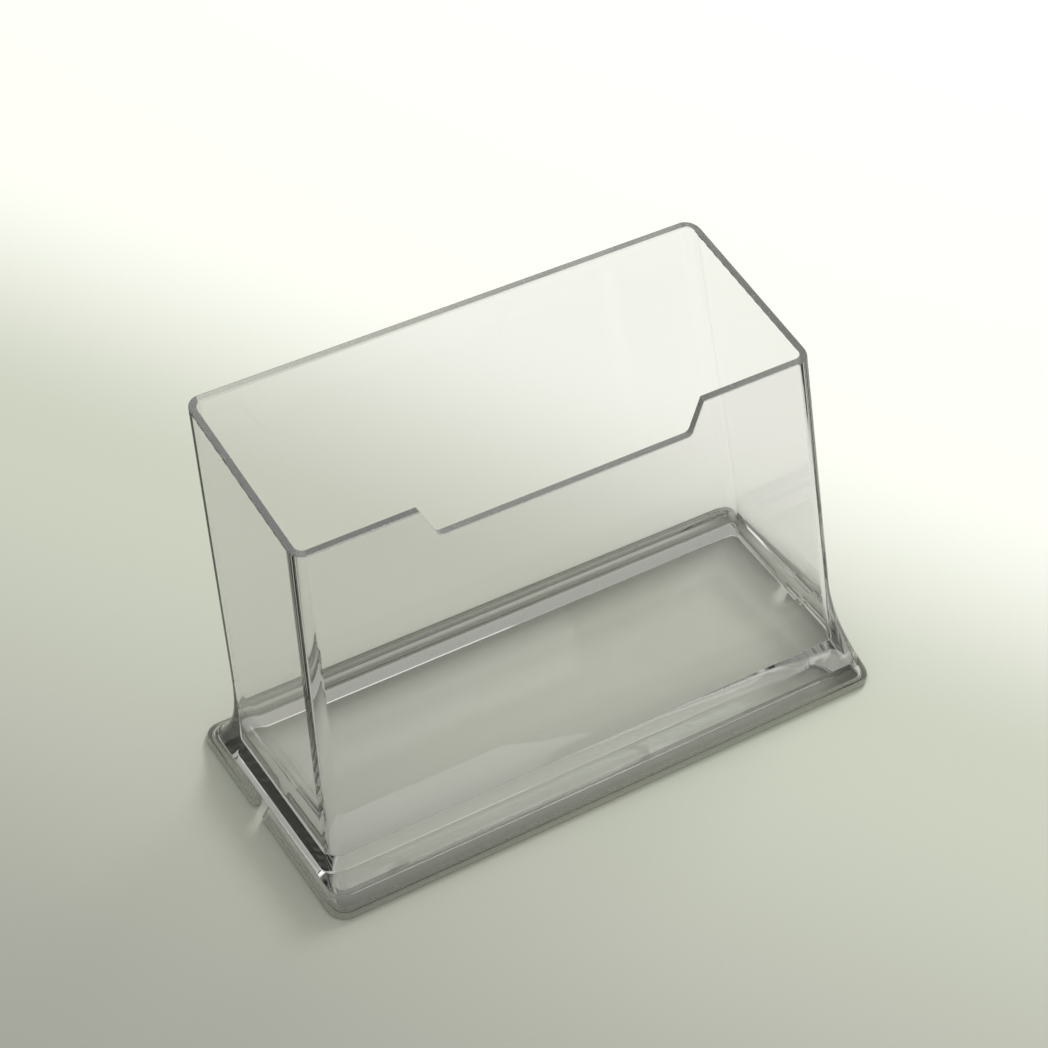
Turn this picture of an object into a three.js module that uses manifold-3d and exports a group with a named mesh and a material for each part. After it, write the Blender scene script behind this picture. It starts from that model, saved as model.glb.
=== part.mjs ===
// Clear desk stand for business cards: a leaning pocket of four thin panels whose lower edges spread
// like a bell, a floor plate that the cards stand on, and two U-shaped feet under the plate.
// Units are millimetres. +Z is up, +X runs along the long side and -Y is the front, with the finger notch.
// The origin lies on the desk, in the middle of the whole stand seen from above.
import * as THREE from "three";
import { mergeVertices } from "three/addons/utils/BufferGeometryUtils.js";
import Module from "manifold-3d";

const wasm = await Module();
wasm.setup();

// Pocket: four plane panels. Each is given by where its outer face meets the desk and the rim.
const wall = 1.3;
const rimWidth = 95;
const pocketWidthAtDesk = 99;
const frontRimHeight = 54.6;
const backRimHeight = 57.6;
const frontAtDesk = -16.5;
const frontAtRim = 4;
const backAtDesk = 13.5;
const backAtRim = 38.5;
const cornerRadius = 2.6;

// Bell: below bellHeight the outer face swings out to the foot, which ends in an upright lip. The inner
// face goes on straight down to the floor, so the bell is solid there. A higher bellCurve keeps the swing
// closer to the foot.
const footWidth = 104.4;
const footDepth = 43.4;
const footCornerRadius = 3;
const bellHeight = 16;
const bellCurve = 2.6;
const lipHeight = 1;

// Floor plate, and the hollow under it that the feet stand round.
const floorThickness = 1.8;
const footHeight = 3;
const footWall = 1.6;

// Finger notch in the front rim.
const notchTopWidth = 52;
const notchBottomWidth = 46.4;
const notchDepth = 4.7;
const notchCornerRadius = 1.2;

// Gap between the two feet, near the middle of each side.
const footGapWidth = 2.8;
const footGapMiddle = 3;
const footGapCornerRadius = 0.8;

// Glue line between two panels.
const bondLine = 0.05;

// How finely curves are drawn.
const cornerSteps = 6;
const bellSteps = 9;

const { lerp, clamp } = THREE.MathUtils;
const floorTop = footHeight + floorThickness;
const aboveRim = backRimHeight + 4 * wall;

// Sides of the panels' outer faces at a height, as a rectangle with round corners.
function panelFace(z) {
  return {
    front: lerp(frontAtDesk, frontAtRim, z / frontRimHeight),
    back: lerp(backAtDesk, backAtRim, z / backRimHeight),
    half: lerp(pocketWidthAtDesk, rimWidth, z / frontRimHeight) / 2,
    radius: cornerRadius,
  };
}

// The same with the bell, which has swung out fully at the lip.
function outerFace(z) {
  const panel = panelFace(z);
  const swing = clamp((bellHeight - z) / (bellHeight - lipHeight), 0, 1) ** bellCurve;
  return {
    front: lerp(panel.front, -footDepth / 2, swing),
    back: lerp(panel.back, footDepth / 2, swing),
    half: lerp(panel.half, footWidth / 2, swing),
    radius: lerp(panel.radius, footCornerRadius, swing),
  };
}

// A face moved inwards by a wall thickness.
function inset({ front, back, half, radius }, thickness) {
  return {
    front: front + thickness,
    back: back - thickness,
    half: half - thickness,
    radius: Math.max(radius - thickness, thickness / 4),
  };
}

// Points of a rectangle with round corners, counter-clockwise seen from above.
function ring({ front, back, half, radius }, z) {
  const points = [];
  const corners = [
    [half - radius, back - radius, 0],
    [radius - half, back - radius, 1],
    [radius - half, front + radius, 2],
    [half - radius, front + radius, 3],
  ];
  for (const [x, y, quarter] of corners) {
    for (let i = 0; i <= cornerSteps; i++) {
      const angle = (quarter + i / cornerSteps) * (Math.PI / 2);
      points.push(new THREE.Vector3(x + radius * Math.cos(angle), y + radius * Math.sin(angle), z));
    }
  }
  return points;
}

// A closed solid through rings of equal length, from the lowest to the highest.
function loft(rings) {
  const count = rings[0].length;
  const positions = rings.flat().flatMap((p) => [p.x, p.y, p.z]);
  const index = [];
  for (let r = 0; r + 1 < rings.length; r++) {
    for (let i = 0; i < count; i++) {
      const a = r * count + i;
      const b = r * count + ((i + 1) % count);
      index.push(a, b, b + count, a, b + count, a + count);
    }
  }
  const last = (rings.length - 1) * count;
  for (let i = 1; i + 1 < count; i++) {
    index.push(0, i + 1, i);
    index.push(last, last + i, last + i + 1);
  }
  const geometry = new THREE.BufferGeometry();
  geometry.setAttribute("position", new THREE.Float32BufferAttribute(positions, 3));
  geometry.setIndex(index);
  return geometry;
}

function solidOf(geometry) {
  const bare = geometry.clone();
  bare.deleteAttribute("normal");
  bare.deleteAttribute("uv");
  const merged = mergeVertices(bare, 1e-4);
  return new wasm.Manifold(
    new wasm.Mesh({
      numProp: 3,
      vertProperties: merged.attributes.position.array,
      triVerts: new Uint32Array(merged.index.array),
    }),
  );
}

function geometryOf(solid) {
  const mesh = solid.getMesh();
  const geometry = new THREE.BufferGeometry();
  geometry.setAttribute("position", new THREE.BufferAttribute(mesh.vertProperties, 3));
  geometry.setIndex(new THREE.BufferAttribute(mesh.triVerts, 1));
  geometry.computeVertexNormals();
  return geometry;
}

// Heights of the rings: close together on the bell.
function bellHeights() {
  const heights = [lipHeight];
  for (let i = 1; i <= bellSteps; i++) heights.push(lerp(lipHeight, bellHeight, i / bellSteps));
  return heights;
}

const blockHeights = [0, ...bellHeights(), aboveRim];
const block = solidOf(loft(blockHeights.map((z) => ring(outerFace(z), z))));
const pocket = solidOf(loft([0, aboveRim + wall].map((z) => ring(inset(panelFace(z), wall), z))));
const hollowHeights = [-footWall, 0, ...bellHeights()];
const hollow = solidOf(loft(hollowHeights.map((z) => ring(inset(outerFace(z), footWall), z))));

// Keeps what lies on the side of a plane that its normal points to.
function keep(solid, normal, point) {
  const plane = new THREE.Plane().setFromNormalAndCoplanarPoint(normal.clone().normalize(), point);
  return solid.trimByPlane(plane.normal.toArray(), -plane.constant);
}
const up = new THREE.Vector3(0, 0, 1);
const down = up.clone().negate();
const right = new THREE.Vector3(1, 0, 0);
const left = right.clone().negate();
const forward = new THREE.Vector3(0, -1, 0);
const backward = forward.clone().negate();
const onAxis = (y, z) => new THREE.Vector3(0, y, z);

// Normal, towards +Y or down, of a plane that holds X and the slope given by run along Y and rise along Z.
const slopeNormal = (run, rise) => new THREE.Vector3(0, rise, -run);

// An opening with slanted sides and round corners, drawn from its mouth at y = 0 inwards to y = -depth.
function openingShape(mouth, inner, depth, radius) {
  const beyondMouth = 2 * radius;
  const corners = [
    [-mouth / 2 - beyondMouth, 0],
    [-mouth / 2, 0],
    [-inner / 2, -depth],
    [inner / 2, -depth],
    [mouth / 2, 0],
    [mouth / 2 + beyondMouth, 0],
  ].map(([x, y]) => new THREE.Vector2(x, y));
  const shape = new THREE.Shape();
  shape.moveTo(corners[0].x, beyondMouth);
  shape.lineTo(corners[0].x, 0);
  for (let i = 1; i + 1 < corners.length; i++) {
    const corner = corners[i];
    const start = corner.clone().add(corners[i - 1].clone().sub(corner).setLength(radius));
    const end = corner.clone().add(corners[i + 1].clone().sub(corner).setLength(radius));
    shape.lineTo(start.x, start.y);
    shape.quadraticCurveTo(corner.x, corner.y, end.x, end.y);
  }
  shape.lineTo(corners.at(-1).x, 0);
  shape.lineTo(corners.at(-1).x, beyondMouth);
  return shape;
}

// The shape drawn through the stand, half its depth to either side.
function cutter(shape, depth) {
  const geometry = new THREE.ExtrudeGeometry(shape, { depth, bevelEnabled: false, curveSegments: cornerSteps });
  return geometry.translate(0, 0, -depth / 2);
}

// Pocket walls stand on the floor plate and end level with the front and back upper outer edges.
const rimNormal = slopeNormal(backAtRim - frontAtRim, backRimHeight - frontRimHeight);
const cutToRim = keep(block, rimNormal, onAxis(frontAtRim, frontRimHeight));
const walls = keep(cutToRim, up, onAxis(0, floorTop)).subtract(pocket);

// The front and back panels keep the round corners, so their seams lie on the sides, just past the bend.
const frontNormal = slopeNormal(frontAtRim - frontAtDesk, frontRimHeight);
const backNormal = slopeNormal(backAtRim - backAtDesk, backRimHeight);
const seamInset = cornerRadius + wall;
const frontSeam = onAxis(frontAtDesk + seamInset, 0);
const backSeam = onAxis(backAtDesk - seamInset, 0);
const halfBond = bondLine / 2;
const shifted = (point, y) => point.clone().setY(point.y + y);

const front = keep(walls, frontNormal.clone().negate(), shifted(frontSeam, -halfBond));
const backPanel = keep(walls, backNormal, shifted(backSeam, halfBond));
const behindFront = keep(walls, frontNormal, shifted(frontSeam, halfBond));
const sides = keep(behindFront, backNormal.clone().negate(), shifted(backSeam, -halfBond));

const notchShape = openingShape(notchTopWidth, notchBottomWidth, notchDepth, notchCornerRadius);
const notch = cutter(notchShape, 4 * seamInset).rotateX(Math.PI / 2).translate(0, frontAtRim, frontRimHeight);
const frontPanel = front.subtract(solidOf(notch));

// Feet: the rim of the bell under the floor plate, parted by a gap on each side.
const gapDepth = footHeight + 2 * footGapCornerRadius;
const gapShape = openingShape(footGapWidth, footGapWidth, gapDepth, footGapCornerRadius);
const gap = cutter(gapShape, 2 * footWidth).rotateX(-Math.PI / 2).rotateZ(Math.PI / 2);
gap.translate(0, footGapMiddle, 0);
const skirt = keep(block, down, onAxis(0, footHeight)).subtract(hollow).subtract(solidOf(gap));

const floorPlate = keep(keep(block, up, onAxis(0, footHeight)), down, onAxis(0, floorTop));

const solids = {
  front_panel: frontPanel,
  back_panel: backPanel,
  left_panel: keep(sides, left, onAxis(0, 0)),
  right_panel: keep(sides, right, onAxis(0, 0)),
  floor_plate: floorPlate,
  front_foot: keep(skirt, forward, onAxis(footGapMiddle, 0)),
  back_foot: keep(skirt, backward, onAxis(footGapMiddle, 0)),
};

const stand = new THREE.Group();
for (const [name, solid] of Object.entries(solids)) {
  const clear = new THREE.MeshStandardMaterial({
    color: "#dfe4de",
    roughness: 0.05,
    metalness: 0,
    transparent: true,
    opacity: 0.35,
  });
  const mesh = new THREE.Mesh(geometryOf(solid), clear);
  mesh.name = name;
  stand.add(mesh);
}

// The rim reaches further back than the feet, so the middle of the whole stand is behind that of the feet.
stand.position.y = -(backAtRim - footDepth / 2) / 2;

export default stand;
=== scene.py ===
"""Clear acrylic desk stand for business cards: a leaning pocket on a flared foot, on a pale desk.

Everything is in metres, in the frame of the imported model: +Z up, +X along the long side, -Y the
front with the finger notch, and the origin on the desk.
"""

import math
from functools import partial

import bpy
from bpy.props import FloatProperty, FloatVectorProperty, IntProperty, PointerProperty
from bpy.types import Operator, Panel, PropertyGroup
from mathutils import Matrix, Vector


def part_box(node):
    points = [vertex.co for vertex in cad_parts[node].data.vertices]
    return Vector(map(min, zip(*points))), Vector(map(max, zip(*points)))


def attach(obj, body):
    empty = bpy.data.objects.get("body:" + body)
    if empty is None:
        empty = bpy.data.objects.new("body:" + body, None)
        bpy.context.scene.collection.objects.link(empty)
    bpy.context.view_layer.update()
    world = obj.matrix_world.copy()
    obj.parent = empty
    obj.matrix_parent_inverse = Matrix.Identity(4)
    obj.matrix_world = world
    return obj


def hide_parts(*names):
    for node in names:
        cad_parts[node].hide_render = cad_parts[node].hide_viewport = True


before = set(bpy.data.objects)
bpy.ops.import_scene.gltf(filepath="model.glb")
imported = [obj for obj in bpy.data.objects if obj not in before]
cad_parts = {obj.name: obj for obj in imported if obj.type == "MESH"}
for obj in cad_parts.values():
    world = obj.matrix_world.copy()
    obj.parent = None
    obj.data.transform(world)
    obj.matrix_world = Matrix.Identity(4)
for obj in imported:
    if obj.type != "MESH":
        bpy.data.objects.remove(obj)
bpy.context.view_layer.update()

bl_info = {
    "name": "Clear card stand",
    "version": (1, 0, 0),
    "blender": (4, 5, 0),
    "location": "3D View > Sidebar > Card Stand",
    "description": "Builds a clear acrylic desk stand for business cards",
    "category": "Object",
}

MM = 0.001
PHOTO_SIZE = 1048
FRONT_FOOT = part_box("front_foot")
BACK_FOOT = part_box("back_foot")
FLOOR_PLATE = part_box("floor_plate")
BACK_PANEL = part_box("back_panel")
# The feet are centred under the pocket's floor, a little in front of the origin.
FOOT_MIDDLE = (FRONT_FOOT[0].y + BACK_FOOT[1].y) / 2

# Shapes. The notch's cutter reaches this far to either side of the front panel.
NOTCH_REACH = 10 * MM
# Rings of faces on a foot's outer face, and on the hollow inside it.
FOOT_RINGS = 8
FOOT_HOLLOW_RINGS = 16
# A face above this area is a plane side of a panel or the floor, and no part of a bend. Faces whose
# normals are this much alike, as a cosine, lie in one such plane.
PLANE_FACE_AREA = 80 * MM**2
SAME_PLANE = 0.99999
# Edges that turn by less than this are steps of a bend, and aren't rounded.
SHARP_EDGE = math.radians(35)
ROUNDING_STEPS = 3

# Acrylic. The density, per metre, says how fast thick acrylic takes on its colour.
ACRYLIC_IOR = 1.49
ACRYLIC_DENSITY = 24.0
# The satin rim fades in between these heights, and between these upward shares of a face's normal.
RIM_HEIGHTS = (0.048, 0.0495)
RIM_UPWARD = (0.42, 0.5)
RIM_CLEARNESS = 0.84
RIM_ROUGHNESS = 0.25
# The bell's shade fades in downwards between these heights. A face whose normal points up or down
# by more than this share is level, and throws none.
BELL_SHADE_HEIGHTS = (0.01, 0.003)
LEVEL_FACE = 0.97

# Stage. The window lies this far round from +X.
WINDOW_AZIMUTH = math.radians(36)
WINDOW_DISTANCE = 1.35
WINDOW_HEIGHT = 0.88
CEILING_HEIGHT = 1.6
DESK_REACH = 2.0
DESK_ROUGHNESS = 0.32
# Where the desk's painted light begins and ends, measured from the origin towards the window, and
# the share of the way at which its middle tone lies.
DESK_PAINTED_LIGHT_SPAN = (-0.11, 0.08)
DESK_PAINTED_LIGHT_MIDDLE = 0.66
# Light that is caught between the faces of a clear panel needs many bounces to get out.
LIGHT_BOUNCES = 40


def linear(hex_colour):
    """An sRGB hex colour as linear red, green and blue, with an alpha of 1."""
    values = [int(hex_colour[i : i + 2], 16) / 255 for i in (1, 3, 5)]
    return [*(v / 12.92 if v <= 0.04045 else ((v + 0.055) / 1.055) ** 2.4 for v in values), 1.0]


def length(name, description, millimetres):
    """A size property, given in millimetres and kept in metres."""
    return FloatProperty(
        name=name,
        description=description,
        default=millimetres * MM,
        unit="LENGTH",
        precision=5,
    )


def colour(name, description, hex_colour):
    """A colour property, given as an sRGB hex value and kept as linear light."""
    return FloatVectorProperty(
        name=name,
        description=description,
        default=linear(hex_colour),
        subtype="COLOR",
        size=4,
        min=0,
        max=1,
    )


class StandSizes(PropertyGroup):
    """Sizes of the card stand."""

    wall: length("Wall", "Thickness of the four panels", 1.3)
    corner_radius: length("Corner radius", "Outer radius of the bends between the panels", 2.6)
    edge_radius: length("Edge radius", "Rounding of the polished edges", 0.2)
    desk_width: length("Pocket width at desk", "Outer width, run down to the desk", 99)
    rim_width: length("Pocket width at rim", "Outer width at the front rim", 95)
    front_at_desk: length(
        "Front at desk",
        "Front face at desk level, from the feet's middle",
        -16.5,
    )
    front_at_rim: length("Front at rim", "Front face at the front rim, from the feet's middle", 4)
    back_at_desk: length("Back at desk", "Back face at desk level, from the feet's middle", 13.5)
    back_at_rim: length("Back at rim", "Back face at the back rim, from the feet's middle", 38.5)
    front_rim_height: length("Front rim height", "Height of the front rim", 54.6)
    back_rim_height: length("Back rim height", "Height of the back rim", BACK_PANEL[1].z / MM)
    bell_height: length("Bell height", "Height at which the outer face starts to swing out", 16)
    lip_height: length("Lip height", "Height of the foot's upright edge", 1)
    foot_corner_radius: length("Foot corner radius", "Outer radius of the foot's corners", 3)
    foot_wall: length("Foot wall", "Thickness of the feet under the floor", 1.6)
    floor_top: length("Floor top", "Height of the floor the cards stand on", FLOOR_PLATE[1].z / MM)
    foot_height: length(
        "Foot height",
        "Height of the hollow under the floor",
        FLOOR_PLATE[0].z / MM,
    )
    joint: length("Joint", "Air left in the joint between the feet and the floor", 0.03)
    notch_top_width: length("Notch width at rim", "Width of the finger notch at the rim", 52)
    notch_bottom_width: length("Notch width below", "Width of the finger notch at its bottom", 46.4)
    notch_depth: length("Notch depth", "Depth of the finger notch", 4.7)
    notch_radius: length("Notch radius", "Rounding of the finger notch's lower corners", 1.2)
    gap_width: length("Foot gap", "Gap between the two feet", 2.8)
    gap_middle: length("Foot gap middle", "Middle of that gap, from the feet's middle", 3)
    bell_curve: FloatProperty(
        name="Bell curve",
        description="Power of the swing: a higher one keeps it closer to the foot",
        default=2.6,
    )
    bell_rings: IntProperty(
        name="Bell rings",
        description="Rings of faces on the bell",
        default=28,
    )
    corner_points: IntProperty(
        name="Corner points",
        description="Points on each bend between two panels",
        default=12,
    )


class StandColours(PropertyGroup):
    """Colours of the card stand and the stage."""

    acrylic: colour("Acrylic", "Tint of light that passes through a panel", "#f9f8f9")
    acrylic_depth: colour("Acrylic depth", "Colour that thick acrylic takes on", "#999b99")
    clear_shadow: colour(
        "Clear shadow",
        "Light that a flat panel's face lets on to the desk",
        "#fefefe",
    )
    bell_shadow: colour(
        "Bell shadow",
        "Light that the bell's bent face lets on to the desk",
        "#6d6e6b",
    )
    # The middle and far desk colours are painted light: they paint the window's falloff and sheen
    # into the desk.
    desk_near: colour("Desk", "Colour of the pale desk", "#a7a7a0")
    desk_middle_painted_light: colour(
        "Middle of the desk",
        "Colour of the desk on the way to the window",
        "#cdd1c3",
    )
    desk_far_painted_light: colour("Desk towards the window", "Colour of the desk's brighter side", "#fdfef8")
    room: colour("Room", "Colour of the room's walls", "#b4b5ae")


def add_node(tree, kind, settings=None, links=None):
    """Adds a node. Settings are its own options or, by name or number, its sockets' values."""
    node = tree.nodes.new(kind)
    for key, value in (settings or {}).items():
        if isinstance(key, str) and hasattr(node, key):
            setattr(node, key, value)
        else:
            node.inputs[key].default_value = value
    for key, source in (links or {}).items():
        tree.links.new(source, node.inputs[key])
    return node


def new_tree(name, inputs):
    """An empty geometry tree with named inputs, and its input and output nodes."""
    tree = bpy.data.node_groups.new(name, "GeometryNodeTree")
    for socket_name, socket_type in inputs:
        tree.interface.new_socket(socket_name, in_out="INPUT", socket_type=socket_type)
    tree.interface.new_socket("Geometry", in_out="OUTPUT", socket_type="NodeSocketGeometry")
    return tree, add_node(tree, "NodeGroupInput").outputs, add_node(tree, "NodeGroupOutput")


FLOAT, COUNT, VECTOR = "NodeSocketFloat", "NodeSocketInt", "NodeSocketVector"
# Shape inputs that every tree shares. A vector of sides is half the width, the front and the back.
SHAPE_INPUTS = [
    ("Sides At Desk", VECTOR),
    ("Sides At Rim", VECTOR),
    ("Sides At Lip", VECTOR),
    ("Rim Height", FLOAT),
    ("Bell Height", FLOAT),
    ("Lip Height", FLOAT),
    ("Bell Curve", FLOAT),
    ("Corner Radius", FLOAT),
    ("Foot Corner Radius", FLOAT),
    ("Corner Points", COUNT),
]


def block_tree():
    """A closed leaning block with round corners, which swings out below the bell height."""
    tree, sizes, output = new_tree(
        "leaning_block",
        SHAPE_INPUTS
        + [
            ("Inset", FLOAT),
            ("Bottom", FLOAT),
            ("Fine Up To", FLOAT),
            ("Top", FLOAT),
            ("Rings", COUNT),
        ],
    )
    add = partial(add_node, tree)

    start = add("ShaderNodeCombineXYZ", links={"Z": sizes["Bottom"]})
    fine_end = add("ShaderNodeCombineXYZ", links={"Z": sizes["Fine Up To"]})
    top = add("ShaderNodeCombineXYZ", links={"Z": sizes["Top"]})
    line = add(
        "GeometryNodeCurvePrimitiveLine",
        links={"Start": start.outputs[0], "End": fine_end.outputs[0]},
    )
    rings = add(
        "GeometryNodeResampleCurve",
        links={"Curve": line.outputs[0], "Count": sizes["Rings"]},
    )
    last = add("GeometryNodeCurveEndpointSelection", {"Start Size": 0, "End Size": 1})
    path = add(
        "GeometryNodeSetPosition",
        links={
            "Geometry": rings.outputs[0],
            "Selection": last.outputs[0],
            "Position": top.outputs[0],
        },
    )

    # A circle of radius 1 gives each corner its own quarter. Half a step's turn keeps its points
    # off the axes.
    around = add("ShaderNodeMath", {"operation": "MULTIPLY", 1: 4.0}, {0: sizes["Corner Points"]})
    half_step = add("ShaderNodeMath", {"operation": "DIVIDE", 0: math.pi}, {1: around.outputs[0]})
    turn = add("ShaderNodeCombineXYZ", links={"Z": half_step.outputs[0]})
    circle = add(
        "GeometryNodeCurvePrimitiveCircle",
        {"Radius": 1.0},
        {"Resolution": around.outputs[0]},
    )
    outline = add(
        "GeometryNodeTransform",
        links={"Geometry": circle.outputs[0], "Rotation": turn.outputs[0]},
    )
    tube = add(
        "GeometryNodeCurveToMesh",
        {"Fill Caps": True},
        {"Curve": path.outputs[0], "Profile Curve": outline.outputs[0]},
    )

    # The sides at this height: plane panels from desk to rim, then the swing, then the inset.
    point = add("ShaderNodeSeparateXYZ", links={0: add("GeometryNodeInputPosition").outputs[0]})
    x, y, z = point.outputs
    rise = add("ShaderNodeMath", {"operation": "DIVIDE"}, {0: z, 1: sizes["Rim Height"]})
    panel = add(
        "ShaderNodeMix",
        {"data_type": "VECTOR", "clamp_factor": False},
        {0: rise.outputs[0], 4: sizes["Sides At Desk"], 5: sizes["Sides At Rim"]},
    )
    share = add(
        "ShaderNodeMapRange",
        links={"Value": z, "From Min": sizes["Bell Height"], "From Max": sizes["Lip Height"]},
    )
    swing = add(
        "ShaderNodeMath",
        {"operation": "POWER"},
        {0: share.outputs[0], 1: sizes["Bell Curve"]},
    )
    swung = add(
        "ShaderNodeMix",
        {"data_type": "VECTOR"},
        {0: swing.outputs[0], 4: panel.outputs[1], 5: sizes["Sides At Lip"]},
    )
    inwards = add(
        "ShaderNodeVectorMath",
        {"operation": "SCALE", 0: (-1, 1, -1)},
        {"Scale": sizes["Inset"]},
    )
    sides = add(
        "ShaderNodeVectorMath",
        {"operation": "ADD"},
        {0: swung.outputs[1], 1: inwards.outputs[0]},
    )
    half, front, back = add("ShaderNodeSeparateXYZ", links={0: sides.outputs[0]}).outputs

    outer_radius = add(
        "ShaderNodeMix",
        links={0: swing.outputs[0], 2: sizes["Corner Radius"], 3: sizes["Foot Corner Radius"]},
    )
    inner_radius = add(
        "ShaderNodeMath",
        {"operation": "SUBTRACT"},
        {0: outer_radius.outputs[0], 1: sizes["Inset"]},
    )
    radius = inner_radius.outputs[0]

    # Each quarter of the circle goes to its own corner.
    corner_x = add("ShaderNodeMath", {"operation": "SUBTRACT"}, {0: half, 1: radius})
    side_x = add("ShaderNodeMath", {"operation": "SIGN"}, {0: x})
    centre_x = add(
        "ShaderNodeMath",
        {"operation": "MULTIPLY"},
        {0: side_x.outputs[0], 1: corner_x.outputs[0]},
    )
    placed_x = add(
        "ShaderNodeMath",
        {"operation": "MULTIPLY_ADD"},
        {0: x, 1: radius, 2: centre_x.outputs[0]},
    )
    front_corner = add("ShaderNodeMath", {"operation": "ADD"}, {0: front, 1: radius})
    back_corner = add("ShaderNodeMath", {"operation": "SUBTRACT"}, {0: back, 1: radius})
    at_front = add("ShaderNodeMath", {"operation": "LESS_THAN", 1: 0.0}, {0: y})
    centre_y = add(
        "ShaderNodeMix",
        links={0: at_front.outputs[0], 2: back_corner.outputs[0], 3: front_corner.outputs[0]},
    )
    placed_y = add(
        "ShaderNodeMath",
        {"operation": "MULTIPLY_ADD"},
        {0: y, 1: radius, 2: centre_y.outputs[0]},
    )
    placed = add(
        "ShaderNodeCombineXYZ",
        links={0: placed_x.outputs[0], 1: placed_y.outputs[0], 2: z},
    )
    block = add(
        "GeometryNodeSetPosition",
        links={"Geometry": tube.outputs[0], "Position": placed.outputs[0]},
    )
    tree.links.new(block.outputs[0], output.inputs[0])
    return tree


def add_block(tree, block, sizes, values, links):
    """A leaning block in a tree. The shape inputs that get no value of their own are passed on."""
    shared = {name: sizes[name] for name, _ in SHAPE_INPUTS if name not in values}
    return add_node(tree, "GeometryNodeGroup", {"node_tree": block, **values}, {**shared, **links})


def end_tree(tree, geometry, sizes, output):
    """Ends a tree in real geometry with its material."""
    real = add_node(tree, "GeometryNodeRealizeInstances", links={"Geometry": geometry})
    painted = add_node(
        tree,
        "GeometryNodeSetMaterial",
        links={"Geometry": real.outputs[0], "Material": sizes["Material"]},
    )
    tree.links.new(painted.outputs[0], output.inputs[0])


def add_notch_prism(tree, sizes):
    """The finger notch as a prism along Z, with the rim at Y = 0.

    Its outline has 4 corners. The slanting sides go on above the rim for the notch's depth.
    """
    add = partial(add_node, tree)

    line = add("GeometryNodeMeshLine", {"Count": 4})
    number = add("GeometryNodeInputIndex").outputs[0]
    # Corners 0 and 1 lie on the left, and 1 and 2, the nearest to the middle at 1.5, at the bottom.
    from_middle = add("ShaderNodeMath", {"operation": "SUBTRACT", 1: 1.5}, {0: number})
    side = add("ShaderNodeMath", {"operation": "SIGN"}, {0: from_middle.outputs[0]})
    away = add("ShaderNodeMath", {"operation": "ABSOLUTE"}, {0: from_middle.outputs[0]})
    at_bottom = add("ShaderNodeMath", {"operation": "LESS_THAN", 1: 1.0}, {0: away.outputs[0]})
    flare = add(
        "ShaderNodeMath",
        {"operation": "SUBTRACT"},
        {0: sizes["Notch Top Width"], 1: sizes["Notch Bottom Width"]},
    )
    widest = add(
        "ShaderNodeMath",
        {"operation": "ADD"},
        {0: sizes["Notch Top Width"], 1: flare.outputs[0]},
    )
    below = add("ShaderNodeMath", {"operation": "MULTIPLY", 1: -1.0}, {0: sizes["Notch Depth"]})
    width = add(
        "ShaderNodeMix",
        links={0: at_bottom.outputs[0], 2: widest.outputs[0], 3: sizes["Notch Bottom Width"]},
    )
    height = add(
        "ShaderNodeMix",
        links={0: at_bottom.outputs[0], 2: sizes["Notch Depth"], 3: below.outputs[0]},
    )
    half = add("ShaderNodeMath", {"operation": "MULTIPLY", 1: 0.5}, {0: side.outputs[0]})
    x = add("ShaderNodeMath", {"operation": "MULTIPLY"}, {0: width.outputs[0], 1: half.outputs[0]})
    point = add("ShaderNodeCombineXYZ", links={"X": x.outputs[0], "Y": height.outputs[0]})
    corners = add(
        "GeometryNodeSetPosition",
        links={"Geometry": line.outputs[0], "Position": point.outputs[0]},
    )
    open_outline = add("GeometryNodeMeshToCurve", links={"Mesh": corners.outputs[0]})
    outline = add(
        "GeometryNodeSetSplineCyclic",
        {"Cyclic": True},
        {"Geometry": open_outline.outputs[0]},
    )
    rounded = add(
        "GeometryNodeFilletCurve",
        {"mode": "POLY", "Count": 6, "Limit Radius": True},
        {"Curve": outline.outputs[0], "Radius": sizes["Notch Radius"]},
    )
    through = add(
        "GeometryNodeCurvePrimitiveLine",
        {"Start": (0, 0, -NOTCH_REACH), "End": (0, 0, NOTCH_REACH)},
    )
    prism = add(
        "GeometryNodeCurveToMesh",
        {"Fill Caps": True},
        {"Curve": through.outputs[0], "Profile Curve": rounded.outputs[0]},
    )
    return prism.outputs[0]


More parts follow.
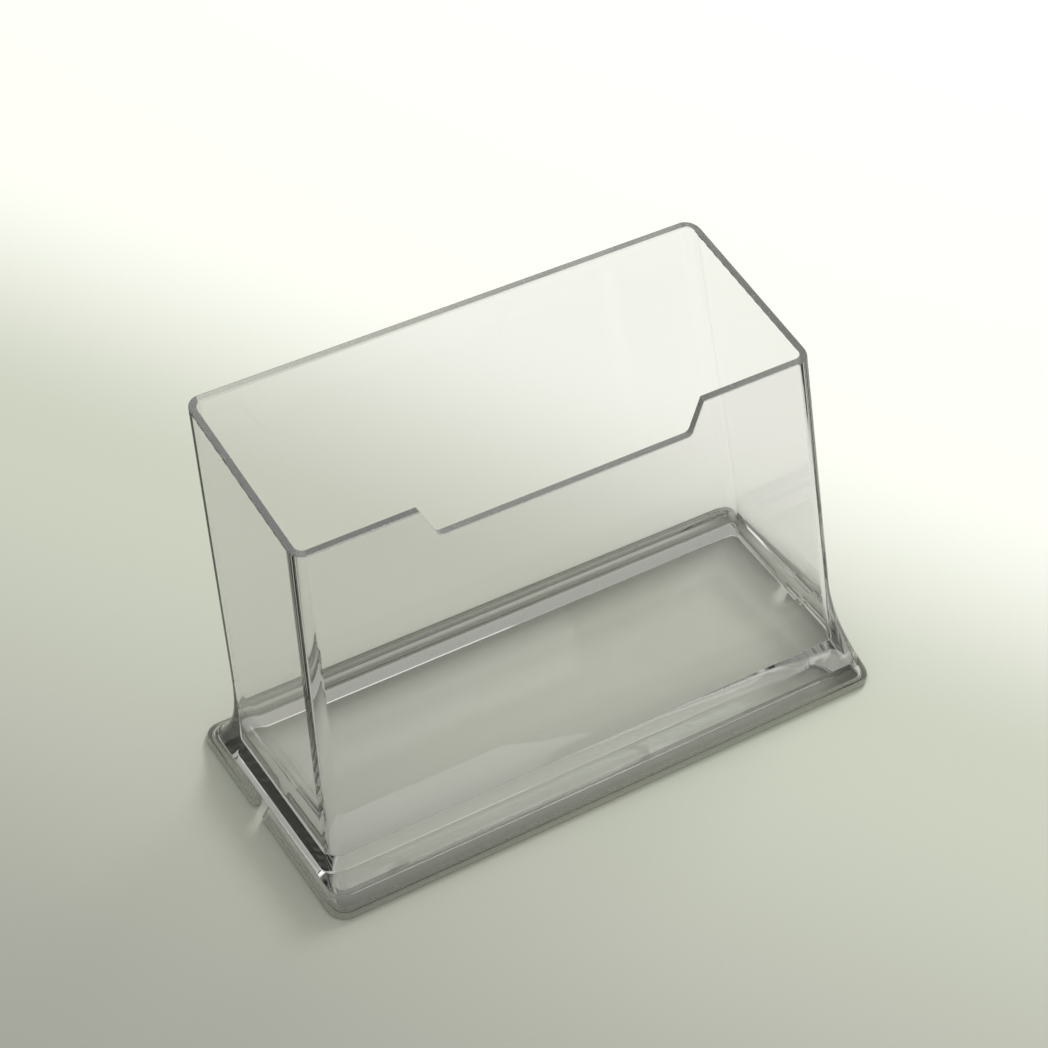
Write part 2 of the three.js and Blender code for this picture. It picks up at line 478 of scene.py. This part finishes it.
def pocket_tree(block):
    """The pocket: a block above the feet, hollowed, cut off at the slanting rim and notched."""
    tree, sizes, output = new_tree(
        "card_pocket",
        SHAPE_INPUTS
        + [
            ("Rings", COUNT),
            ("Wall", FLOAT),
            ("Bottom", FLOAT),
            ("Floor Top", FLOAT),
            ("Above Rim", FLOAT),
            ("Rim Point", VECTOR),
            ("Rim Tilt", VECTOR),
            ("Notch Bottom Width", FLOAT),
            ("Notch Top Width", FLOAT),
            ("Notch Depth", FLOAT),
            ("Notch Radius", FLOAT),
            ("Material", "NodeSocketMaterial"),
        ],
    )
    add = partial(add_node, tree)

    outside = add_block(
        tree,
        block,
        sizes,
        {"Inset": 0.0},
        {
            "Bottom": sizes["Bottom"],
            "Fine Up To": sizes["Bell Height"],
            "Top": sizes["Above Rim"],
            "Rings": sizes["Rings"],
        },
    )
    # The inner face has no bell: it goes straight down, so its bell lies far below its bottom. It
    # reaches a tenth higher than the outside, to cut it open.
    top = add("ShaderNodeMath", {"operation": "MULTIPLY", 1: 1.1}, {0: sizes["Above Rim"]})
    inside = add_block(
        tree,
        block,
        sizes,
        {"Rings": 2, "Bell Height": -1.0, "Lip Height": -2.0},
        {
            "Inset": sizes["Wall"],
            "Bottom": sizes["Floor Top"],
            "Fine Up To": sizes["Above Rim"],
            "Top": top.outputs[0],
        },
    )

    # What lies above the rim: a cube on the origin, tilted and moved to the front rim.
    size = add("ShaderNodeCombineXYZ", {"X": 1.0, "Y": 1.0}, {"Z": sizes["Above Rim"]})
    cube = add("GeometryNodeMeshCube", links={"Size": size.outputs[0]})
    half_height = add("ShaderNodeMath", {"operation": "MULTIPLY", 1: 0.5}, {0: sizes["Above Rim"]})
    lift = add("ShaderNodeCombineXYZ", links={"Z": half_height.outputs[0]})
    raised = add(
        "GeometryNodeTransform",
        links={"Geometry": cube.outputs[0], "Translation": lift.outputs[0]},
    )
    above = add(
        "GeometryNodeTransform",
        links={
            "Geometry": raised.outputs[0],
            "Translation": sizes["Rim Point"],
            "Rotation": sizes["Rim Tilt"],
        },
    )

    notch = add(
        "GeometryNodeTransform",
        {"Rotation": (math.pi / 2, 0, 0)},
        {"Geometry": add_notch_prism(tree, sizes), "Translation": sizes["Rim Point"]},
    )

    cut = add("GeometryNodeMeshBoolean", {"operation": "DIFFERENCE", "solver": "EXACT"})
    tree.links.new(outside.outputs[0], cut.inputs["Mesh 1"])
    for cutter in (inside, above, notch):
        tree.links.new(cutter.outputs[0], cut.inputs["Mesh 2"])
    end_tree(tree, cut.outputs[0], sizes, output)
    return tree


def foot_tree(block):
    """One foot: the rim of the bell below the floor, cut at the gap, of which one side is kept."""
    tree, sizes, output = new_tree(
        "stand_foot",
        SHAPE_INPUTS
        + [
            ("Foot Wall", FLOAT),
            ("Top", FLOAT),
            ("Gap Width", FLOAT),
            ("Gap Middle", FLOAT),
            ("Side", FLOAT),
            ("Material", "NodeSocketMaterial"),
        ],
    )
    add = partial(add_node, tree)

    outside = add_block(
        tree,
        block,
        sizes,
        {"Inset": 0.0, "Bottom": 0.0, "Rings": FOOT_RINGS},
        {"Fine Up To": sizes["Top"], "Top": sizes["Top"]},
    )
    # The hollow begins below the foot and goes on beyond its top, to cut it open at both ends.
    beyond = add("ShaderNodeMath", {"operation": "MULTIPLY", 1: 2.0}, {0: sizes["Top"]})
    inside = add_block(
        tree,
        block,
        sizes,
        {"Bottom": -MM, "Rings": FOOT_HOLLOW_RINGS},
        {
            "Inset": sizes["Foot Wall"],
            "Fine Up To": beyond.outputs[0],
            "Top": beyond.outputs[0],
        },
    )
    gap_size = add("ShaderNodeCombineXYZ", {"X": 1.0, "Z": 1.0}, {"Y": sizes["Gap Width"]})
    cube = add("GeometryNodeMeshCube", links={"Size": gap_size.outputs[0]})
    place = add("ShaderNodeCombineXYZ", links={"Y": sizes["Gap Middle"]})
    gap = add(
        "GeometryNodeTransform",
        links={"Geometry": cube.outputs[0], "Translation": place.outputs[0]},
    )
    cut = add("GeometryNodeMeshBoolean", {"operation": "DIFFERENCE", "solver": "EXACT"})
    tree.links.new(outside.outputs[0], cut.inputs["Mesh 1"])
    for cutter in (inside, gap):
        tree.links.new(cutter.outputs[0], cut.inputs["Mesh 2"])

    point = add("ShaderNodeSeparateXYZ", links={0: add("GeometryNodeInputPosition").outputs[0]})
    from_gap = add(
        "ShaderNodeMath",
        {"operation": "SUBTRACT"},
        {0: point.outputs["Y"], 1: sizes["Gap Middle"]},
    )
    on_side = add(
        "ShaderNodeMath",
        {"operation": "MULTIPLY"},
        {0: from_gap.outputs[0], 1: sizes["Side"]},
    )
    other = add("ShaderNodeMath", {"operation": "LESS_THAN", 1: 0.0}, {0: on_side.outputs[0]})
    one = add(
        "GeometryNodeDeleteGeometry",
        links={"Geometry": cut.outputs[0], "Selection": other.outputs[0]},
    )
    end_tree(tree, one.outputs[0], sizes, output)
    return tree


def grow(name, tree, values):
    """Runs a geometry tree with these inputs and keeps its result as an object's plain mesh."""
    piece = bpy.data.objects.new(name, bpy.data.meshes.new(name))
    bpy.context.scene.collection.objects.link(piece)
    modifier = piece.modifiers.new("shape", "NODES")
    modifier.node_group = tree
    for socket in tree.interface.items_tree:
        if socket.in_out == "INPUT":
            modifier[socket.identifier] = values[socket.name]
    depsgraph = bpy.context.evaluated_depsgraph_get()
    mesh = bpy.data.meshes.new_from_object(piece.evaluated_get(depsgraph), depsgraph=depsgraph)
    piece.modifiers.remove(modifier)
    piece.data = mesh
    mesh.name = name
    return piece


def shape_values(sizes):
    """The shape inputs that every tree shares, from the sizes, in the frame of the feet."""
    rise = sizes.front_rim_height / sizes.back_rim_height
    back_at_front_rim = sizes.back_at_desk + (sizes.back_at_rim - sizes.back_at_desk) * rise
    return {
        "Sides At Desk": (sizes.desk_width / 2, sizes.front_at_desk, sizes.back_at_desk),
        "Sides At Rim": (sizes.rim_width / 2, sizes.front_at_rim, back_at_front_rim),
        "Sides At Lip": (
            FRONT_FOOT[1].x,
            FRONT_FOOT[0].y - FOOT_MIDDLE,
            BACK_FOOT[1].y - FOOT_MIDDLE,
        ),
        "Rim Height": sizes.front_rim_height,
        "Bell Height": sizes.bell_height,
        "Lip Height": sizes.lip_height,
        "Bell Curve": sizes.bell_curve,
        "Corner Radius": sizes.corner_radius,
        "Foot Corner Radius": sizes.foot_corner_radius,
        "Corner Points": sizes.corner_points,
    }


def shade_by_form(mesh):
    """Shades plane faces flat and the rest smooth. A smooth plane would bend what it shows."""
    planes = [face.normal.copy() for face in mesh.polygons if face.area > PLANE_FACE_AREA]
    for face in mesh.polygons:
        face.use_smooth = all(face.normal.dot(plane) < SAME_PLANE for plane in planes)


def finish_piece(piece, sizes, nodes):
    """Moves a grown piece to its place, rounds its polished edges and sets it in the frame."""
    piece.data.transform(Matrix.Translation((0, FOOT_MIDDLE, 0)))
    shade_by_form(piece.data)
    bevel = piece.modifiers.new("polished edges", "BEVEL")
    bevel.width = sizes.edge_radius
    bevel.segments = ROUNDING_STEPS
    bevel.limit_method = "ANGLE"
    bevel.angle_limit = SHARP_EDGE
    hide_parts(*nodes)
    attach(piece, "root")


def clear_acrylic(colours):
    """Moulded acrylic: water clear and glossy, with a satin rim, wipe marks and fine scratches."""
    material = bpy.data.materials.new("polished_clear_acrylic")
    material.use_nodes = True
    tree = material.node_tree
    surface = tree.nodes["Principled BSDF"]
    surface.inputs["Base Color"].default_value = colours.acrylic
    surface.inputs["IOR"].default_value = ACRYLIC_IOR
    add = partial(add_node, tree)

    place = add("ShaderNodeTexCoord").outputs["Object"]
    height = add("ShaderNodeSeparateXYZ", links={0: place}).outputs["Z"]
    facing = add("ShaderNodeNewGeometry").outputs["True Normal"]
    upward = add("ShaderNodeSeparateXYZ", links={0: facing}).outputs["Z"]

    # The rim is cut flat and only lightly polished. Its satin edge scatters some light, so the rim
    # is a soft grey line.
    near_rim = add(
        "ShaderNodeMapRange",
        {
            "interpolation_type": "SMOOTHSTEP",
            "From Min": RIM_HEIGHTS[0],
            "From Max": RIM_HEIGHTS[1],
        },
        {"Value": height},
    )
    facing_up = add(
        "ShaderNodeMapRange",
        {
            "interpolation_type": "SMOOTHSTEP",
            "From Min": RIM_UPWARD[0],
            "From Max": RIM_UPWARD[1],
        },
        {"Value": upward},
    )
    satin = add(
        "ShaderNodeMath",
        {"operation": "MULTIPLY"},
        {0: near_rim.outputs[0], 1: facing_up.outputs[0]},
    )
    clearness = add(
        "ShaderNodeMapRange",
        {"To Min": 1.0, "To Max": RIM_CLEARNESS},
        {"Value": satin.outputs[0]},
    )
    tree.links.new(clearness.outputs[0], surface.inputs["Transmission Weight"])

    # Wipe marks: a soft haze in patches about 10 mm across.
    wiped = add(
        "ShaderNodeTexNoise",
        {"Scale": 90.0, "Detail": 4.0, "Distortion": 0.8},
        {"Vector": place},
    )
    haze = add(
        "ShaderNodeMapRange",
        {"From Min": 0.45, "From Max": 0.8, "To Min": 0.004, "To Max": 0.03},
        {"Value": wiped.outputs[0]},
    )
    # Fine scratches up and down, where cards slide in and out, in a grain 0.3 mm wide and 17 mm
    # long. Real ones are finer, and wouldn't show.
    stretched = add("ShaderNodeMapping", {"Scale": (3500.0, 3500.0, 60.0)}, {"Vector": place})
    grain = add(
        "ShaderNodeTexNoise",
        {"Scale": 1.0, "Detail": 2.0},
        {"Vector": stretched.outputs[0]},
    )
    scratches = add(
        "ShaderNodeMapRange",
        {"From Min": 0.66, "From Max": 0.72, "To Min": 0.0, "To Max": 0.03},
        {"Value": grain.outputs[0]},
    )
    worn = add(
        "ShaderNodeMath",
        {"operation": "ADD"},
        {0: haze.outputs[0], 1: scratches.outputs[0]},
    )
    roughness = add(
        "ShaderNodeMath",
        {"operation": "MULTIPLY_ADD", 1: RIM_ROUGHNESS},
        {0: satin.outputs[0], 2: worn.outputs[0]},
    )
    tree.links.new(roughness.outputs[0], surface.inputs["Roughness"])

    # Moulded walls are never quite flat. Slow waves, about 14 mm long and 0.02 mm high, bend what
    # is seen through them a little.
    waves = add("ShaderNodeTexNoise", {"Scale": 70.0, "Detail": 1.0}, {"Vector": place})
    uneven = add(
        "ShaderNodeBump",
        {"Strength": 1.0, "Distance": 0.00002},
        {"Height": waves.outputs[0]},
    )
    tree.links.new(uneven.outputs[0], surface.inputs["Normal"])

    # The depth of thick acrylic: the rims and the bell turn grey where light goes far through them.
    depth = add(
        "ShaderNodeVolumeAbsorption",
        {"Color": colours.acrylic_depth, "Density": ACRYLIC_DENSITY},
    )
    tree.links.new(depth.outputs[0], tree.nodes["Material Output"].inputs["Volume"])

    # Light from the lamps and from the desk passes straight through, so that the desk under it is
    # lit. The bell bends most of that light away, so it throws a shadow round the feet.
    path = add("ShaderNodeLightPath")
    low = add(
        "ShaderNodeMapRange",
        {
            "interpolation_type": "SMOOTHSTEP",
            "From Min": BELL_SHADE_HEIGHTS[0],
            "From Max": BELL_SHADE_HEIGHTS[1],
        },
        {"Value": height},
    )
    up = add("ShaderNodeMath", {"operation": "ABSOLUTE"}, {0: upward})
    bent = add("ShaderNodeMath", {"operation": "LESS_THAN", 1: LEVEL_FACE}, {0: up.outputs[0]})
    bell = add("ShaderNodeMath", {"operation": "MULTIPLY"}, {0: low.outputs[0], 1: bent.outputs[0]})
    shade = add(
        "ShaderNodeMix",
        {"data_type": "RGBA", 6: colours.clear_shadow, 7: colours.bell_shadow},
        {0: bell.outputs[0]},
    )
    clear = add("ShaderNodeBsdfTransparent", links={"Color": shade.outputs[2]})
    lamps_pass = add(
        "ShaderNodeMixShader",
        links={0: path.outputs["Is Shadow Ray"], 1: surface.outputs[0], 2: clear.outputs[0]},
    )
    desk_light_passes = add(
        "ShaderNodeMixShader",
        links={0: path.outputs["Is Diffuse Ray"], 1: lamps_pass.outputs[0], 2: clear.outputs[0]},
    )
    tree.links.new(desk_light_passes.outputs[0], tree.nodes["Material Output"].inputs["Surface"])


class CARDSTAND_OT_pocket(Operator):
    """Builds the clear pocket: four leaning panels and the floor"""

    bl_idname = "cardstand.pocket"
    bl_label = "Pocket"

    def execute(self, context):
        sizes = context.scene.stand_sizes
        rim_tilt = math.atan2(
            sizes.back_rim_height - sizes.front_rim_height,
            sizes.back_at_rim - sizes.front_at_rim,
        )
        tree = pocket_tree(bpy.data.node_groups.get("leaning_block") or block_tree())
        piece = grow(
            "clear_pocket",
            tree,
            {
                **shape_values(sizes),
                "Rings": sizes.bell_rings,
                "Wall": sizes.wall,
                "Bottom": sizes.foot_height,
                "Floor Top": sizes.floor_top,
                # The block starts out higher than the rim, which is cut from it.
                "Above Rim": sizes.back_rim_height + 4 * sizes.wall,
                "Rim Point": (0, sizes.front_at_rim, sizes.front_rim_height),
                "Rim Tilt": (rim_tilt, 0, 0),
                "Notch Bottom Width": sizes.notch_bottom_width,
                "Notch Top Width": sizes.notch_top_width,
                "Notch Depth": sizes.notch_depth,
                "Notch Radius": sizes.notch_radius,
                "Material": bpy.data.materials["polished_clear_acrylic"],
            },
        )
        nodes = ("front_panel", "back_panel", "left_panel", "right_panel", "floor_plate")
        finish_piece(piece, sizes, nodes)
        return {"FINISHED"}


class CARDSTAND_OT_feet(Operator):
    """Builds the two clear feet under the floor"""

    bl_idname = "cardstand.feet"
    bl_label = "Feet"

    def execute(self, context):
        sizes = context.scene.stand_sizes
        tree = foot_tree(bpy.data.node_groups.get("leaning_block") or block_tree())
        for name, side in (("front_foot", -1.0), ("back_foot", 1.0)):
            piece = grow(
                "clear_" + name,
                tree,
                {
                    **shape_values(sizes),
                    "Foot Wall": sizes.foot_wall,
                    "Top": sizes.foot_height - sizes.joint,
                    "Gap Width": sizes.gap_width,
                    "Gap Middle": sizes.gap_middle,
                    "Side": side,
                    "Material": bpy.data.materials["polished_clear_acrylic"],
                },
            )
            finish_piece(piece, sizes, (name,))
        return {"FINISHED"}


class CARDSTAND_OT_materials(Operator):
    """Makes the clear acrylic"""

    bl_idname = "cardstand.materials"
    bl_label = "Acrylic"

    def execute(self, context):
        clear_acrylic(context.scene.stand_colours)
        return {"FINISHED"}


def towards_window(distance, height):
    """A point at this distance and height on the window's side."""
    return Matrix.Rotation(WINDOW_AZIMUTH, 3, "Z") @ Vector((distance, 0, height))


def add_softbox(name, place, target, width, height, watts):
    """A rectangular studio lamp that looks at a point."""
    light = bpy.data.lights.new(name, "AREA")
    light.shape = "RECTANGLE"
    light.size = width
    light.size_y = height
    light.energy = watts
    lamp = bpy.data.objects.new(name, light)
    lamp.location = place
    lamp.rotation_euler = (Vector(target) - Vector(place)).to_track_quat("-Z", "Y").to_euler()
    bpy.context.scene.collection.objects.link(lamp)
    return lamp


class CARDSTAND_OT_stage(Operator):
    """Sets up the pale desk, the soft lamps and the camera"""

    bl_idname = "cardstand.stage"
    bl_label = "Stage"

    def execute(self, context):
        colours = context.scene.stand_colours
        add_desk(colours)
        add_surroundings(colours)
        lamp = add_softbox(
            "window",
            place=towards_window(WINDOW_DISTANCE, WINDOW_HEIGHT),
            target=(0, 0, 0.02),
            width=0.4,
            height=0.4,
            watts=17,
        )
        # The window's own image would lie as a white patch in the floor plate.
        lamp.visible_glossy = lamp.visible_transmission = False
        add_softbox(
            "ceiling",
            place=(0, 0, CEILING_HEIGHT),
            target=(0, 0, 0),
            width=1.6,
            height=1.6,
            watts=7,
        )
        add_camera()
        return {"FINISHED"}


def add_desk(colours):
    """A wide pale desk top, with painted light: its colour grows brighter towards the window."""
    mesh = bpy.data.meshes.new("desk")
    corners = [(x * DESK_REACH, y * DESK_REACH, 0) for x, y in ((-1, -1), (1, -1), (1, 1), (-1, 1))]
    mesh.from_pydata(corners, [], [(0, 1, 2, 3)])
    desk = bpy.data.objects.new("desk", mesh)
    bpy.context.scene.collection.objects.link(desk)
    # Satin laminate, with a broad soft sheen. Its colour holds painted light, brighter towards the
    # window.
    material = bpy.data.materials.new("satin_desk_laminate_painted_light")
    material.use_nodes = True
    tree = material.node_tree
    surface = tree.nodes["Principled BSDF"]
    surface.inputs["Roughness"].default_value = DESK_ROUGHNESS
    add = partial(add_node, tree)

    place = add("ShaderNodeTexCoord").outputs["Object"]
    distance = add(
        "ShaderNodeVectorMath",
        {"operation": "DOT_PRODUCT", 1: towards_window(1, 0)},
        {0: place},
    )
    share = add(
        "ShaderNodeMapRange",
        {"From Min": DESK_PAINTED_LIGHT_SPAN[0], "From Max": DESK_PAINTED_LIGHT_SPAN[1]},
        {"Value": distance.outputs["Value"]},
    )
    # Painted light: this ramp paints the window's falloff and sheen into the desk's colour, near
    # tone to white.
    shade = add("ShaderNodeValToRGB", links={0: share.outputs[0]})
    shade.color_ramp.interpolation = "EASE"
    shade.color_ramp.elements.new(DESK_PAINTED_LIGHT_MIDDLE)
    painted_light_tones = (colours.desk_near, colours.desk_middle_painted_light, colours.desk_far_painted_light)
    for stop, tone in zip(shade.color_ramp.elements, painted_light_tones):
        stop.color = tone
    tree.links.new(shade.outputs[0], surface.inputs["Base Color"])
    mesh.materials.append(material)


def add_surroundings(colours):
    """Even light from a plain room."""
    world = bpy.data.worlds.new("room")
    world.use_nodes = True
    background = world.node_tree.nodes["Background"]
    background.inputs["Color"].default_value = colours.room
    background.inputs["Strength"].default_value = 1.0
    bpy.context.scene.world = world


def add_camera():
    """The camera at the photograph's viewing angle, fitted to the rim, the walls and the foot."""
    azimuth, elevation, roll = math.radians(-38.48), math.radians(45.622), math.radians(7.79)
    focal_pixels = 3003.1
    target = Vector((0, FOOT_MIDDLE, 0.025))
    right_shift, up_shift, distance = -0.00571203, 0.01266773, 0.47561
    back = Vector(
        (
            math.sin(azimuth) * math.cos(elevation),
            -math.cos(azimuth) * math.cos(elevation),
            math.sin(elevation),
        )
    )
    level = Vector((math.cos(azimuth), math.sin(azimuth), 0))
    steep = back.cross(level)
    right = math.cos(roll) * level + math.sin(roll) * steep
    up = -math.sin(roll) * level + math.cos(roll) * steep
    data = bpy.data.cameras.new("camera")
    data.sensor_width = 36
    data.lens = focal_pixels / PHOTO_SIZE * data.sensor_width
    camera = bpy.data.objects.new("camera", data)
    place = target + right * right_shift + up * up_shift + back * distance
    turn = Matrix((right, up, back)).transposed().to_4x4()
    camera.matrix_world = Matrix.Translation(place) @ turn
    bpy.context.scene.collection.objects.link(camera)
    bpy.context.scene.camera = camera


class CARDSTAND_PT_panel(Panel):
    """Lists the stand's sizes, colours and pieces"""

    bl_label = "Card Stand"
    bl_space_type = "VIEW_3D"
    bl_region_type = "UI"
    bl_category = "Card Stand"

    def draw(self, context):
        for group in (context.scene.stand_sizes, context.scene.stand_colours):
            for name in group.bl_rna.properties.keys():
                if name not in ("rna_type", "name"):
                    self.layout.prop(group, name)
        for operator in STEPS:
            self.layout.operator(operator.bl_idname)


STEPS = (CARDSTAND_OT_materials, CARDSTAND_OT_pocket, CARDSTAND_OT_feet, CARDSTAND_OT_stage)
CLASSES = (StandSizes, StandColours, *STEPS, CARDSTAND_PT_panel)


def register():
    for item in CLASSES:
        bpy.utils.register_class(item)
    bpy.types.Scene.stand_sizes = PointerProperty(type=StandSizes)
    bpy.types.Scene.stand_colours = PointerProperty(type=StandColours)


def unregister():
    del bpy.types.Scene.stand_sizes
    del bpy.types.Scene.stand_colours
    for item in reversed(CLASSES):
        bpy.utils.unregister_class(item)


def main():
    register()
    bpy.ops.cardstand.materials()
    bpy.ops.cardstand.pocket()
    bpy.ops.cardstand.feet()
    bpy.ops.cardstand.stage()
    bpy.context.scene.view_settings.view_transform = "Standard"
    for kind in ("max_bounces", "transmission_bounces", "glossy_bounces"):
        setattr(bpy.context.scene.cycles, kind, LIGHT_BOUNCES)


if __name__ == "__main__":
    main()
